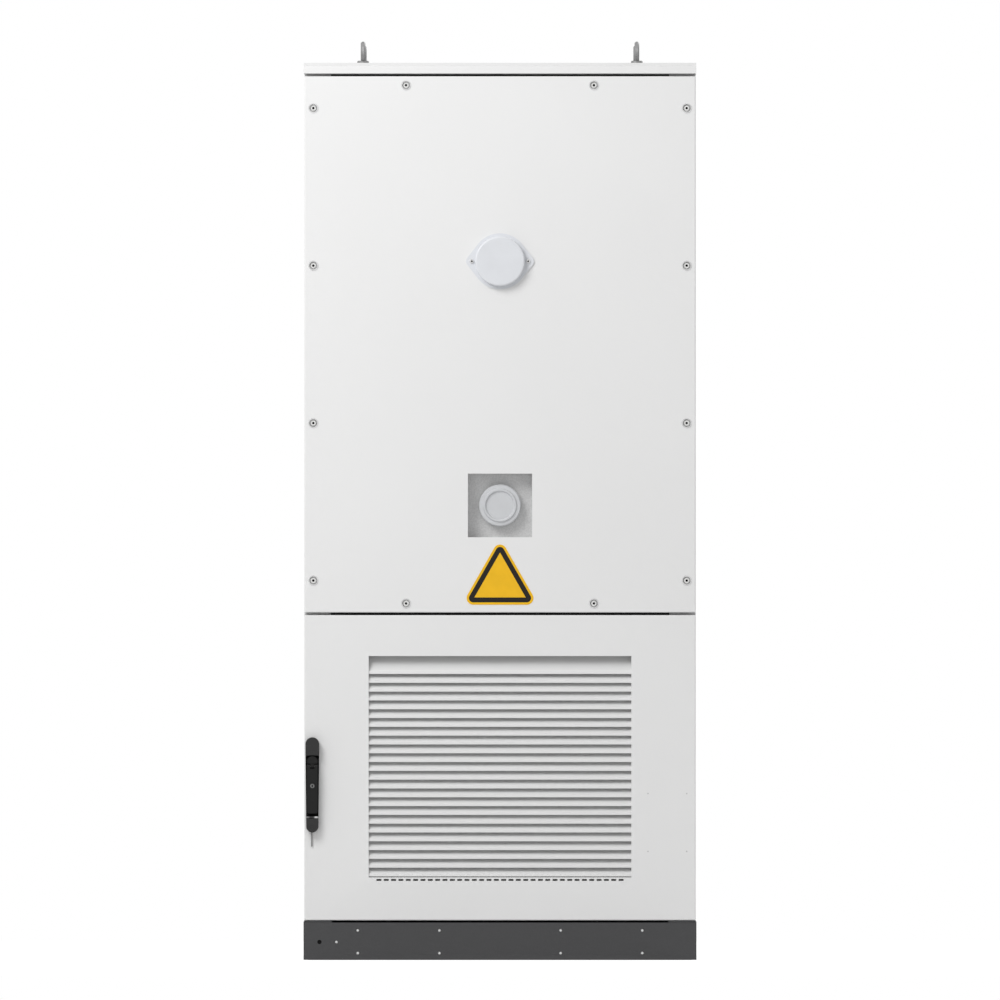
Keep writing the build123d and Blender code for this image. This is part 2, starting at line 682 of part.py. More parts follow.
def vent_cover():
    face = FRONT - VENT_FLANGE
    crown = FRONT - VENT_RISE
    cover = front_plate(vent_outline(0), face, FRONT)
    disc = bar_y(0, VENT_Z, VENT_DISC_RADIUS, crown, face)
    disc = fillet(disc.edges().sort_by(Axis.Y)[0], VENT_ROUNDING)
    cover += disc
    cover -= bar_y(0, VENT_Z, VENT_DISC_RADIUS - VENT_WALL, crown + VENT_WALL, FRONT + 1)
    slot_y = crown + VENT_ROUNDING + 2
    slot_half = VENT_SLOT_LENGTH / 2
    for step in (-1, 0, 1):
        x = step * VENT_SLOT_PITCH
        low = VENT_Z - VENT_DISC_RADIUS - 1
        cover -= block(x - slot_half, x + slot_half, slot_y, slot_y + VENT_SLOT_WIDTH, low, VENT_Z)
    for sx in BOTH:
        x = sx * VENT_EAR_X
        cover -= bar_y(x, VENT_Z, SCREW_RADIUS, face - 1, FRONT + 1)
        cover -= bar_y(x, VENT_Z, VENT_SCREW_HEAD + 1.5, crown - 1, face)
    save("vent_cover", cover)
    screws = []
    for sx in BOTH:
        top = face - VENT_SCREW_RISE
        points = [(0, top), (VENT_SCREW_HEAD - 1, top), (VENT_SCREW_HEAD, top + 1)]
        points += [(VENT_SCREW_HEAD, face), (SCREW_RADIUS, face), (SCREW_RADIUS, SKIN_BACK + 6)]
        points.append((0, SKIN_BACK + 6))
        socket = Pos(sx * VENT_EAR_X, VENT_Z) * RegularPolygon(2.5, 6)
        screw = turned(points, sx * VENT_EAR_X, VENT_Z)
        screws.append(screw - front_plate(socket, top - 1, top + 2.5))
    save("vent_screws", group(screws))


def filler_recess():
    floor = FRONT + RECESS_DEPTH
    skin = LIGHT_SHEET
    half = RECESS_HALF_WIDTH
    low = RECESS_BOTTOM
    high = RECESS_TOP
    middle = (low + high) / 2
    pan = block(-half - skin, half + skin, SKIN_BACK, floor + skin, low - skin, high + skin)
    lap = RECESS_FLANGE
    pan += block(-half - lap, half + lap, SKIN_BACK, SKIN_BACK + skin, low - lap, high + lap)
    pan -= block(-half, half, FRONT, floor, low, high)
    pan -= bar_y(0, middle, SPIGOT_BORE, floor - 1, floor + skin + 1)
    save("recess_pan", pan)
    tip = floor - SPIGOT_LENGTH
    rim = SPIGOT_RADIUS + 6
    points = [(SPIGOT_BORE, tip), (SPIGOT_RADIUS, tip), (SPIGOT_RADIUS, floor), (SPIGOT_BORE, floor)]
    spigot = turned(points, 0, middle)
    points = [(SPIGOT_BORE, floor), (SPIGOT_BORE, floor + skin), (rim, floor + skin)]
    points += [(rim, floor + skin + 4), (SPIGOT_BORE - 4, floor + skin + 4), (SPIGOT_BORE - 4, tip)]
    save("filler_spigot", spigot + turned(points + [(SPIGOT_BORE, tip)], 0, middle))
    crown = floor - CAP_HEIGHT
    skirt = SPIGOT_RADIUS + CAP_CLEARANCE
    foot = floor - CAP_FLOOR_GAP
    inside = tip - 0.5
    dish = crown + CAP_DISH_DEPTH
    step = crown + CAP_STEP
    points = [(0, dish), (CAP_DISH, dish), (CAP_CREST - 2, crown), (CAP_CREST + 1, crown)]
    points += [(CAP_CREST + 4, step), (CAP_RADIUS - 2.5, step + 0.5), (CAP_RADIUS, step + 3)]
    points += [(CAP_RADIUS, foot), (skirt, foot), (skirt, inside)]
    cap = turned(points + [(0, inside)], 0, middle)
    save("filler_cap", cap)


def sign_outline(inset):
    """A triangle with rounded corners, drawn in from the plate's edge."""
    radius = SIGN_CORNER - inset
    foot = SIGN_BOTTOM + SIGN_CORNER
    side = SIGN_WIDTH / 2 - SIGN_CORNER
    head = SIGN_BOTTOM + SIGN_HEIGHT - SIGN_CORNER
    circles = [Pos(x, z) * Circle(radius) for x, z in ((-side, foot), (side, foot), (0, head))]
    return make_hull((circles[0] + circles[1] + circles[2]).edges())


def sign():
    face = FRONT - SIGN_SHEET
    save("sign_plate", front_plate(sign_outline(0), face, FRONT))
    band = sign_outline(SIGN_BORDER_OUTSET)
    foot = SIGN_BOTTOM + SIGN_CORNER
    side = SIGN_WIDTH / 2 - SIGN_CORNER
    head = SIGN_BOTTOM + SIGN_HEIGHT - SIGN_CORNER
    centres = make_face(Polyline((-side, foot), (side, foot), (0, head), close=True))
    inset = SIGN_BORDER_OUTSET + SIGN_BORDER_WIDTH - SIGN_CORNER
    inner = offset(centres, -inset, kind=Kind.INTERSECTION)
    save("sign_border", front_plate(band - inner, face - SIGN_BORDER_SHEET, face))


# ---- Door ----
def door_skin():
    skin = tray(DOOR_BOTTOM, DOOR_TOP)
    y0 = FRONT - 1
    y1 = SKIN_BACK + 1
    half = WINDOW_HALF_WIDTH
    skin -= block(-half, half, y0, y1, WINDOW_BOTTOM, WINDOW_TOP)
    middle = (SLOT_COUNT - 1) / 2
    slots = [Pos((index - middle) * SLOT_PITCH, SLOT_Z) * SlotOverall(SLOT_LENGTH, SLOT_WIDTH)
             for index in range(SLOT_COUNT)]
    skin -= front_plate(Sketch() + slots, y0, y1)
    for x in RIVET_X:
        for z in RIVET_Z:
            skin -= bar_y(x, z, RIVET_RADIUS, y0, y1)
    skin -= bar_y(HANDLE_X, TURRET_Z, SHAFT_RADIUS + 0.5, y0, y1)
    for z in HINGE_Z:
        notch = HINGE_NOTCH
        skin -= block(HALF_W - PANEL_SHEET, HALF_W + 1, SKIN_BACK, TRAY_BACK + 1, z - notch, z + notch)
    save("door_skin", skin)


def louvre_header(z, front):
    """A cove from the first blade's nose back to an upright edge at the top of the window."""
    skin = LIGHT_SHEET
    setback = FRONT + HEADER_SETBACK
    low = z + BLADE_NOSE
    bend = (low + WINDOW_TOP) / 2
    face = Bezier((setback, WINDOW_TOP), (setback, bend), (front, low))
    nose = Polyline((front, low), (front, z), (front + skin, z), (front + skin, low - skin))
    back = Bezier((front + skin, low - skin), (setback + skin, bend - skin), (setback + skin, WINDOW_TOP))
    top = Line((setback + skin, WINDOW_TOP), (setback, WINDOW_TOP))
    return make_face(Wire(face.edges() + nose.edges() + back.edges() + top.edges()))


def louvre_panel():
    """Inclined blades between two cheeks, below a header."""
    half = WINDOW_HALF_WIDTH
    skin = LIGHT_SHEET
    lean = skin * BLADE_LEAN
    front = FRONT + BLADE_FRONT
    rear = FRONT + BLADE_REAR
    panel = ring(half + skin, half, WINDOW_BOTTOM - skin, WINDOW_TOP + skin, skin,
                 SKIN_BACK, SKIN_BACK + LOUVRE_DEPTH)
    panel += cross_bar(louvre_header(BLADE_FIRST, front), -half, half)
    for index in range(1, BLADE_COUNT):
        z = BLADE_FIRST - index * BLADE_PITCH
        points = [(front, z), (front + skin, z), (front + skin, z + BLADE_NOSE - skin)]
        points += [(rear, z + BLADE_RISE - lean), (rear, z + BLADE_RISE), (front, z + BLADE_NOSE)]
        panel += cross_bar(make_face(Polyline(*points, close=True)), -half, half)
    save("louvre_panel", panel)


def door_filter():
    """A rim behind the louvres holding a filter mat."""
    skin = LIGHT_SHEET
    y0 = SKIN_BACK + LOUVRE_DEPTH
    y1 = y0 + FILTER_DEPTH
    half = WINDOW_HALF_WIDTH + FILTER_LAP
    z0 = WINDOW_BOTTOM - FILTER_LAP
    z1 = WINDOW_TOP + FILTER_LAP
    rim = ring(half, half - FILTER_RIM, z0, z1, FILTER_RIM, y0, y1)
    mat = block(skin - half, half - skin, y0 + skin, y1 - skin, z0 + skin, z1 - skin)
    save("filter_rim", rim - mat)
    save("filter_mat", mat)


def door_trim():
    back = SKIN_BACK + PANEL_SHEET
    rivets = []
    for x in RIVET_X:
        for z in RIVET_Z:
            head = FRONT - RIVET_HEAD
            tail = back + LIGHT_SHEET
            points = [(0, head), (RIVET_RADIUS, head), (RIVET_RADIUS, back)]
            points += [(RIVET_TAIL, back), (RIVET_TAIL, tail), (0, tail)]
            rivets.append(turned(points, x, z))
    save("door_rivets", group(rivets))
    plates = []
    for x in RIVET_X:
        low = RIVET_Z[0] - STIFFENER_REACH
        high = RIVET_Z[1] + STIFFENER_REACH
        plate = block(x - STIFFENER_HALF, x + STIFFENER_HALF, SKIN_BACK, back, low, high)
        for z in RIVET_Z:
            plate -= bar_y(x, z, RIVET_RADIUS, SKIN_BACK - 1, back + 1)
        plates.append(plate)
    save("door_stiffeners", group(plates))
    low_lip = PAN_TOP + BOTTOM_RAIL - FRAME_SHEET
    seal = foam(POST_INNER, low_lip, MID_RAIL_BOTTOM + FRAME_SHEET, FOAM_GAP)
    save("door_seal", seal)


# ---- Hinges ----
def hinges():
    fixed = []
    moving = []
    pins = []
    bore = PIN_RADIUS + PIN_CLEARANCE
    half_leaf = LEAF_SHEET / 2
    foot_y = FRAME_FRONT - LEAF_SHEET + 0.5
    for z in HINGE_Z:
        low = z - KNUCKLE_HALF
        high = z + KNUCKLE_HALF
        knuckle = bar_z(HINGE_X, HINGE_Y, KNUCKLE_RADIUS, low, high)
        knuckle += block(HINGE_X - half_leaf, HINGE_X + half_leaf, HINGE_Y, FRAME_FRONT, low, high)
        knuckle += block(HINGE_X - 26, HINGE_X + 8, foot_y, FRAME_FRONT, low - 12, high + 12)
        fixed.append(knuckle - bar_z(HINGE_X, HINGE_Y, PIN_RADIUS, low - 1, high + 1))
        leaf_front = SKIN_BACK + LEAF_SHEET
        leaf = block(HINGE_X - 18, HINGE_X + 8, SKIN_BACK, leaf_front, z - HINGE_HALF, z + HINGE_HALF)
        for z0, z1 in ((z - HINGE_HALF, low - KNUCKLE_GAP), (high + KNUCKLE_GAP, z + HINGE_HALF)):
            leaf += bar_z(HINGE_X, HINGE_Y, KNUCKLE_RADIUS, z0, z1)
            leaf += block(HINGE_X - half_leaf, HINGE_X + half_leaf, SKIN_BACK, HINGE_Y, z0, z1)
        leaf -= bar_z(HINGE_X, HINGE_Y, bore, z - HINGE_HALF - 1, z + HINGE_HALF + 1)
        moving.append(leaf)
        pin = bar_z(HINGE_X, HINGE_Y, PIN_RADIUS, z - HINGE_HALF - 2, z + HINGE_HALF + 0.5)
        head_z = z + HINGE_HALF + 0.5
        pins.append(pin + bar_z(HINGE_X, HINGE_Y, PIN_RADIUS + 1.5, head_z, head_z + 2))
    save("hinge_frame_leaves", group(fixed))
    save("hinge_door_leaves", group(moving))
    save("hinge_pins", group(pins))


# ---- Swing handle ----
def swing_handle():
    base_front = FRONT - HANDLE_BASE
    crown = FRONT - HANDLE_RISE
    head_radius = HANDLE_HEAD_WIDTH / 2
    foot_radius = HANDLE_FOOT_WIDTH / 2
    ends = Pos(HANDLE_X, HANDLE_TOP - head_radius) * Circle(head_radius)
    ends += Pos(HANDLE_X, HANDLE_BOTTOM + foot_radius) * Circle(foot_radius)
    outline = make_hull(ends.edges())
    base = front_plate(outline, base_front, FRONT)
    raised = front_plate(outline, crown, base_front)
    head_bottom = TURRET_Z + TURRET_RADIUS + HEAD_GAP
    x0 = HANDLE_X - head_radius
    x1 = HANDLE_X + head_radius
    head = raised & block(x0, x1, crown, base_front, head_bottom, HANDLE_TOP)
    catch = raised & block(x0, x1, crown, base_front, HANDLE_BOTTOM, CATCH_TOP)
    head = fillet(head.edges().group_by(Axis.Y)[0], 2)
    catch = fillet(catch.edges().group_by(Axis.Y)[0], 2)
    catch -= bar_y(HANDLE_X, HANDLE_BOTTOM + CATCH_HOLE_RISE, CATCH_HOLE, crown - 1, crown + 3)
    base += head + catch
    base -= bar_y(HANDLE_X, TURRET_Z, SHAFT_RADIUS + PIN_CLEARANCE, base_front - 1, FRONT + 1)
    save("handle_base", base)
    band_x = (x0 + BAND_INSET, x1 - BAND_INSET)
    band = block(*band_x, crown + 2, base_front, CATCH_TOP + 1, CATCH_TOP + 1 + BAND_HEIGHT)
    save("handle_band", band)
    blade = block(HANDLE_X - 3.2, HANDLE_X + 0.3, FRONT - 4, FRONT, HANDLE_BOTTOM - 36, HANDLE_BOTTOM)
    save("padlock_blade", blade)

    lever_back = base_front - LEVER_LIFT
    lever_front = lever_back - LEVER_THICKNESS
    pin_y = (lever_back + lever_front) / 2
    radius = LEVER_THICKNESS / 2
    turret_low = LEVER_PIN_Z + radius + TURRET_GAP
    turret = bar_y(HANDLE_X, TURRET_Z, TURRET_RADIUS, lever_front, lever_back + 1)
    floor = TURRET_Z - TURRET_RADIUS - 1
    turret -= block(x0, x1, lever_front - 1, lever_back + 2, floor, turret_low)
    tongue = TONGUE_HALF
    tongue_x = (HANDLE_X - tongue, HANDLE_X + tongue)
    turret += block(*tongue_x, pin_y - tongue, pin_y + tongue, LEVER_PIN_Z, turret_low + 1)
    turret += bar_x(pin_y, LEVER_PIN_Z, tongue, *tongue_x)
    pin_bore = LEVER_PIN_RADIUS + PIN_CLEARANCE
    turret -= bar_x(pin_y, LEVER_PIN_Z, pin_bore, x0, x1)
    cam_y = FRONT + 4
    turret += bar_y(HANDLE_X, TURRET_Z, SHAFT_RADIUS, lever_back + 1, cam_y)
    turret += bar_y(HANDLE_X, TURRET_Z, CAM_RADIUS, cam_y, cam_y + 4)
    reach = CRANK_RADIUS * cos(radians(45))
    for sx in BOTH:
        x = HANDLE_X + sx * reach
        turret += bar_y(x, TURRET_Z - sx * reach, CRANK_PIN, cam_y + 4, cam_y + 12)
    save("handle_turret", turret)

    half_lever = TURRET_RADIUS
    low_arc = LEVER_BOTTOM + half_lever
    lever_x = (HANDLE_X - half_lever, HANDLE_X + half_lever)
    lever = block(*lever_x, lever_front, lever_back, low_arc - 8, LEVER_PIN_Z)
    toe = block(*lever_x, lever_front, lever_back, LEVER_BOTTOM, low_arc - 8)
    lever += fillet(toe.edges().filter_by(Axis.Y).group_by(Axis.Z)[0], 4)
    lever += bar_x(pin_y, LEVER_PIN_Z, radius, *lever_x)
    slot = tongue + 0.4
    slot_low = LEVER_PIN_Z - slot - 0.2
    slot_top = LEVER_PIN_Z + radius + 1
    slot_x = (HANDLE_X - slot, HANDLE_X + slot)
    lever -= block(*slot_x, lever_front - 1, lever_back + 1, slot_low, slot_top)
    lever -= bar_x(pin_y, LEVER_PIN_Z, LEVER_PIN_RADIUS, lever_x[0] - 1, lever_x[1] + 1)
    lock_bore = LOCK_RADIUS + 0.1
    lever -= bar_y(HANDLE_X, LOCK_Z, lock_bore, lever_front - 1, lever_back - 2)
    save("handle_lever", lever)
    save("lever_pin", bar_x(pin_y, LEVER_PIN_Z, LEVER_PIN_RADIUS, *lever_x))
    face = lever_front - 0.5
    points = [(0, face), (LOCK_RADIUS - 1, face), (LOCK_RADIUS, face + 1)]
    points += [(LOCK_RADIUS, lever_back - 2.2), (0, lever_back - 2.2)]
    barrel = turned(points, HANDLE_X, LOCK_Z)
    key_slot = block(HANDLE_X - 1, HANDLE_X + 1, face - 1, face + 6, LOCK_Z - 4, LOCK_Z + 4)
    save("lock_barrel", barrel - key_slot)

    rod_y = cam_y + 6
    rod_end = rod_y + ROD_THICKNESS
    middle = (CRANK_RADIUS + reach) / 2
    slot_half = (CRANK_RADIUS - reach) / 2 + CRANK_PIN + 0.5
    upper_end = DOOR_TOP - ROD_END_GAP
    lower_end = DOOR_BOTTOM + ROD_END_GAP
    rods = {"lock_rod_upper": (-1, upper_end), "lock_rod_lower": (1, lower_end)}
    for name, (sx, end) in rods.items():
        x = HANDLE_X + sx * middle
        z0, z1 = sorted((TURRET_Z - sx * (reach - 7), end))
        rod = block(x - ROD_WIDTH / 2, x + ROD_WIDTH / 2, rod_y, rod_end, z0, z1)
        slot_z = TURRET_Z - sx * reach
        window = block(x - slot_half, x + slot_half, rod_y - 1, rod_end + 1,
                       slot_z - CRANK_PIN - 0.6, slot_z + CRANK_PIN + 0.6)
        save(name, rod - window)
    guides = []
    for sx, z in [(-1, z) for z in UPPER_GUIDES] + [(1, z) for z in LOWER_GUIDES]:
        x = HANDLE_X + sx * middle
        bracket = block(x - 8.5, x + 8.5, SKIN_BACK, rod_end + 2, z - 6, z + 6)
        gap = ROD_WIDTH / 2 + 0.4
        guides.append(bracket - block(x - gap, x + gap, rod_y - 0.4, rod_end + 0.4, z - 7, z + 7))
    save("rod_guides", group(guides))


# ---- Battery rack ----
def battery_rack():
    half = MODULE_WIDTH / 2
    leg_out = half + 2 + RACK_SHEET
    upright_in = leg_out
    front = MODULE_FRONT + 10
    rear = MODULE_FRONT + MODULE_DEPTH
    top = FRAME_TOP - TOP_RAIL - FRAME_SHEET
    modules = []
    runners = []
    for index in range(MODULE_COUNT):
        z = MODULE_BOTTOM + index * MODULE_PITCH
        case = block(-half, half, MODULE_FRONT, rear, z, z + MODULE_HEIGHT)
        rim = MODULE_FACE_RIM
        face = MODULE_FRONT + MODULE_FACE_DEPTH
        case -= block(rim - half, half - rim, MODULE_FRONT - 1, face, z + rim, z + MODULE_HEIGHT - rim)
        modules.append(case)
        ledge = z - RACK_SHEET
        for sx in BOTH:
            x = sx * leg_out
            inner = sx * (leg_out - RUNNER_LEDGE)
            runner = block(min(x, inner), max(x, inner), front, rear, ledge, z)
            leg_in = sx * (leg_out - RACK_SHEET)
            leg = block(min(x, leg_in), max(x, leg_in), front, rear, z, z + RUNNER_LEG)
            runners.append(runner + leg)
    save("battery_modules", group(modules))
    save("rack_runners", group(runners))
    uprights = []
    for sx in BOTH:
        for y0, y1, web_y in ((front, front + RACK_ANGLE, front), (rear - RACK_ANGLE, rear, rear)):
            near = sx * upright_in
            far = sx * (upright_in + RACK_SHEET)
            angle = block(min(near, far), max(near, far), y0, y1, SHELF_TOP, top)
            edge = sx * (upright_in + RACK_ANGLE - 5)
            inward = RACK_SHEET if web_y == front else -RACK_SHEET
            ya, yb = sorted((web_y, web_y + inward))
            uprights.append(angle + block(min(far, edge), max(far, edge), ya, yb, SHELF_TOP, top))
    save("rack_uprights", group(uprights))
    links = []
    for index in range(MODULE_COUNT - 1):
        z = MODULE_BOTTOM + index * MODULE_PITCH + MODULE_HEIGHT / 2
        sx = 1 if index % 2 else -1
        x = sx * (half - MODULE_FACE_RIM / 2)
        wide = LINK_WIDTH / 2
        face = MODULE_FRONT
        links.append(block(x - wide, x + wide, face - LINK_SHEET, face, z, z + MODULE_PITCH))
    save("module_links", group(links))
    z = MODULE_BOTTOM + (MODULE_COUNT - 1) * MODULE_PITCH + MODULE_HEIGHT
    y0 = MODULE_FRONT + CONTROL_SETBACK
    wide = CONTROL_WIDTH / 2
    control = block(-wide, wide, y0, y0 + CONTROL_DEPTH, z, z + CONTROL_HEIGHT)
    save("control_box", control)


# ---- Cooler ----
def fan_places():
    return [(-FAN_X, FAN_Z), (FAN_X, FAN_Z)]


def fan_rotor(x, z):
    """A hub with pitched blades, spinning inside the housing's front opening."""
    y0 = COOLER_FRONT + FAN_SETBACK
    rotor = bar_y(x, z, FAN_HUB, y0, y0 + FAN_DEPTH)
    span = FAN_TIP - FAN_HUB + 8
    centre = FAN_HUB - 4 + span / 2
    for index in range(FAN_BLADES):
        blade = Pos(centre - 4, 0, 0) * Rot(FAN_PITCH, 0, 0) * Box(span, 3, FAN_CHORD)
        spin = Rot(0, 360 / FAN_BLADES * index, 0)
        rotor += Pos(x, y0 + FAN_DEPTH / 2, z) * spin * blade
    return rotor - bar_y(x, z, FAN_SHAFT + PIN_CLEARANCE, y0 + 4, y0 + FAN_DEPTH + 1)


def cooler():
    half = COOLER_HALF_WIDTH
    skin = LIGHT_SHEET
    front = COOLER_FRONT
    housing = block(-half, half, front, COOLER_REAR, COOLER_BOTTOM, COOLER_TOP)
    inner = half - skin
    housing -= block(-inner, inner, front + skin, COOLER_REAR + 1, COOLER_BOTTOM + skin,
                     COOLER_TOP - skin)
    for x, z in fan_places():
        housing -= bar_y(x, z, FAN_OPENING, front - 1, front + skin + 1)
    for sx in BOTH:
        x = sx * (half - COOLER_FOOT_INSET)
        foot = COOLER_FOOT_HALF
        housing += block(x - foot, x + foot, front + foot, COOLER_REAR - foot, PAN_TOP, COOLER_BOTTOM)
    motors = []
    motor_front = front + FAN_SETBACK + FAN_DEPTH + 4
    motor_rear = motor_front + MOTOR_LENGTH
    housing += block(-inner, inner, motor_rear, motor_rear + 3, FAN_Z - 30, FAN_Z + 30)
    for name, (x, z) in zip(("fan_left", "fan_right"), fan_places()):
        save(name, fan_rotor(x, z))
        for radius in GUARD_RINGS:
            wire = Circle(radius) - Circle(radius - GUARD_WIRE)
            housing += front_plate(Pos(x, z) * wire, front, front + skin)
        reach = FAN_OPENING + 1
        housing += block(x - reach, x + reach, front, front + skin, z - 2, z + 2)
        housing += block(x - 2, x + 2, front, front + skin, z - reach, z + reach)
        motor = bar_y(x, z, MOTOR_RADIUS, motor_front, motor_rear)
        motors.append(motor + bar_y(x, z, FAN_SHAFT, front + 12, motor_front))
    save("cooler_housing", housing)
    save("fan_motors", group(motors))
    coil_y = COOLER_REAR - COIL_DEPTH - COIL_REAR_GAP
    coil = block(-inner, inner, coil_y, coil_y + COIL_DEPTH, COOLER_BOTTOM + skin, COOLER_TOP - 20)
    pitch = 2 * inner / FIN_COUNT
    for index in range(1, FIN_COUNT):
        x = index * pitch - inner
        coil -= block(x - pitch / 4, x + pitch / 4, coil_y - 1, coil_y + COIL_GROOVE,
                      COOLER_BOTTOM + COIL_MARGIN, COOLER_TOP - 20 - COIL_MARGIN)
    save("cooling_coil", coil)


os.makedirs("parts", exist_ok=True)
plinth()
base()
frame()
front_panel()
rear_panel()
panel_fasteners()
sides_and_roof()
lifting_gear()
vent_cover()
filler_recess()
sign()
door_skin()
louvre_panel()
door_filter()
door_trim()
hinges()
swing_handle()
battery_rack()
cooler()
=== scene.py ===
from math import cos, hypot, pi, radians, sin

import bpy
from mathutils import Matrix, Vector

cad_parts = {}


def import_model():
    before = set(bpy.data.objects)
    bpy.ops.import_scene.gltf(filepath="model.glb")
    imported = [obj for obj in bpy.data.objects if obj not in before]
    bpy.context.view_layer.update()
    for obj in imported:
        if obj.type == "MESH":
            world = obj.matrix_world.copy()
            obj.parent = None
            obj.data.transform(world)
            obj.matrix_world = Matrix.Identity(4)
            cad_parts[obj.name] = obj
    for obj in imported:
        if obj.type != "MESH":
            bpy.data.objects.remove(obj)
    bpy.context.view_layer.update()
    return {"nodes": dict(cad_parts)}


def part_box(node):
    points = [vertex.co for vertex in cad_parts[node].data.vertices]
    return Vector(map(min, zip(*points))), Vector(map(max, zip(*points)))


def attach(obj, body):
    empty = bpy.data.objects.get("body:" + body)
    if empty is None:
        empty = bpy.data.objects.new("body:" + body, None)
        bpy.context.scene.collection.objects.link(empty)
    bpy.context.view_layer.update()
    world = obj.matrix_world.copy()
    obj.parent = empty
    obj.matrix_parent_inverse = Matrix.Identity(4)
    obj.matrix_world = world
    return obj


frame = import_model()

NODES = frame["nodes"]
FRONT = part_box("front_panel")[0].y

# Finishes: linear colours and roughness
PAINT = (0.80, 0.80, 0.798)
PLINTH = (0.062, 0.062, 0.064)
HANDLE_HEAD = (0.022, 0.022, 0.022)
HANDLE_LEVER = (0.009, 0.009, 0.009)
POLYMER = (0.70, 0.715, 0.745)
CAP_GREY = (0.58, 0.59, 0.605)
ZINC = (0.72, 0.72, 0.71)
CUP_ZINC = (0.60, 0.60, 0.60)
EYE_STEEL = (0.30, 0.30, 0.30)
LOCK_STEEL = (0.22, 0.22, 0.22)
SHADOW_BLACK = (0.006, 0.006, 0.006)
GALVANISED = (0.60, 0.60, 0.60)
RUBBER = (0.018, 0.018, 0.018)
PALE_NYLON = (0.92, 0.92, 0.91)
PIN_STEEL = (0.06, 0.06, 0.06)
CONCRETE = (0.22, 0.22, 0.215)
YELLOW = (0.86, 0.49, 0.022)
BLACK = (0.02, 0.018, 0.016)
FILTER = (0.055, 0.055, 0.055)
MODULE = (0.10, 0.11, 0.125)
ALUMINIUM = (0.62, 0.62, 0.62)
FAN = (0.03, 0.03, 0.032)


# Header of the louvres: heights in metres over which painted shade darkens it towards the top, and
# how dark it gets
HEADER_SPAN = (0.737, 0.772)
HEADER_PAINTED_SHADE = 0.55

# The handle's lock and band: places in metres, and tones along them that paint their light and
# shade: painted shade at the lock's centre and rim and in the band's middle, painted highlights at
# the band's ends
HANDLE_X = -0.4795
LOCK_AXIS = (HANDLE_X, 0.4443)
RING_REACH = 0.009
LOCK_PAINTED_RINGS = [(0.0, 0.01), (0.22, 0.012), (0.34, 0.20), (0.52, 0.16), (0.66, 0.015), (1.0, 0.008)]
BAND_ENDS = (HANDLE_X - 0.0155, HANDLE_X + 0.0155)
BAND_PAINTED_LIGHT = [(0.0, 0.22), (0.15, 0.16), (0.3, 0.03), (0.62, 0.04), (0.78, 0.6), (1.0, 0.35)]


# ---- Node helpers ----
class Shader:
    """A material built from linked nodes, in the cabinet's own metres."""

    def __init__(self, name, colour, roughness, metallic=0.0):
        self.material = bpy.data.materials.new(name)
        self.material.use_nodes = True
        self.material.diffuse_color = (*colour, 1)
        self.tree = self.material.node_tree
        self.bsdf = self.tree.nodes["Principled BSDF"]
        self.bsdf.inputs["Base Color"].default_value = (*colour, 1)
        self.bsdf.inputs["Roughness"].default_value = roughness
        self.bsdf.inputs["Metallic"].default_value = metallic
        self.colour = colour
        self.place = self.add("ShaderNodeTexCoord").outputs["Object"]
        self.normal = None

    def add(self, kind, **values):
        node = self.tree.nodes.new(kind)
        for key, value in values.items():
            setattr(node, key, value)
        return node

    def link(self, start, end):
        self.tree.links.new(start, end)

    def noise(self, scale, detail=3.0, stretch=(1, 1, 1)):
        """Noise with about this many features in a metre."""
        mapping = self.add("ShaderNodeMapping")
        mapping.inputs["Scale"].default_value = stretch
        self.link(self.place, mapping.inputs["Vector"])
        node = self.add("ShaderNodeTexNoise")
        node.inputs["Scale"].default_value = scale
        node.inputs["Detail"].default_value = detail
        self.link(mapping.outputs["Vector"], node.inputs["Vector"])
        return node.outputs["Fac"]

    def cells(self, scale):
        """Random grey for each crystal of a zinc coat."""
        node = self.add("ShaderNodeTexVoronoi")
        node.inputs["Scale"].default_value = scale
        self.link(self.place, node.inputs["Vector"])
        grey = self.add("ShaderNodeRGBToBW")
        self.link(node.outputs["Color"], grey.inputs["Color"])
        return grey.outputs["Val"]

    def spread(self, source, low, high, start=0.3, end=0.7):
        """A value that runs from low to high as the source goes from start to end."""
        node = self.add("ShaderNodeMapRange")
        limits = {"From Min": start, "From Max": end, "To Min": low, "To Max": high}
        for key, value in limits.items():
            node.inputs[key].default_value = value
        self.link(source, node.inputs["Value"])
        return node.outputs["Result"]

    def tint(self, source, amount):
        """Lighten and darken the colour by a share of itself."""
        factor = self.spread(source, 1 - amount, 1 + amount)
        node = self.add("ShaderNodeMix", data_type="RGBA", blend_type="MULTIPLY")
        node.inputs["Factor"].default_value = 1
        base = self.bsdf.inputs["Base Color"]
        if base.is_linked:
            self.link(base.links[0].from_socket, node.inputs["A"])
        else:
            node.inputs["A"].default_value = (*self.colour, 1)
        self.link(factor, node.inputs["B"])
        self.link(node.outputs["Result"], base)

    def rough(self, source, low, high):
        self.link(self.spread(source, low, high), self.bsdf.inputs["Roughness"])

    def bump(self, source, depth):
        """Relief of this depth in metres."""
        node = self.add("ShaderNodeBump")
        node.inputs["Distance"].default_value = depth
        node.inputs["Strength"].default_value = 1.0
        self.link(source, node.inputs["Height"])
        if self.normal:
            self.link(self.normal, node.inputs["Normal"])
        self.normal = node.outputs["Normal"]
        self.link(self.normal, self.bsdf.inputs["Normal"])


def powder_coat(name, colour, grain, depth, roughness):
    """Textured powder coat: fine orange peel, a slight cloudiness and dust in the lows."""
    s = Shader(name, colour, roughness)
    fine = s.noise(grain, 4)
    s.bump(fine, depth)
    s.bump(s.noise(grain / 6, 2), depth * 1.2)
    s.tint(s.noise(1.6, 3), 0.012)
    s.tint(fine, 0.015)
    s.rough(s.noise(grain / 2, 2), roughness - 0.06, roughness + 0.08)
    s.bsdf.inputs["Specular IOR Level"].default_value = 0.3
    return s.material


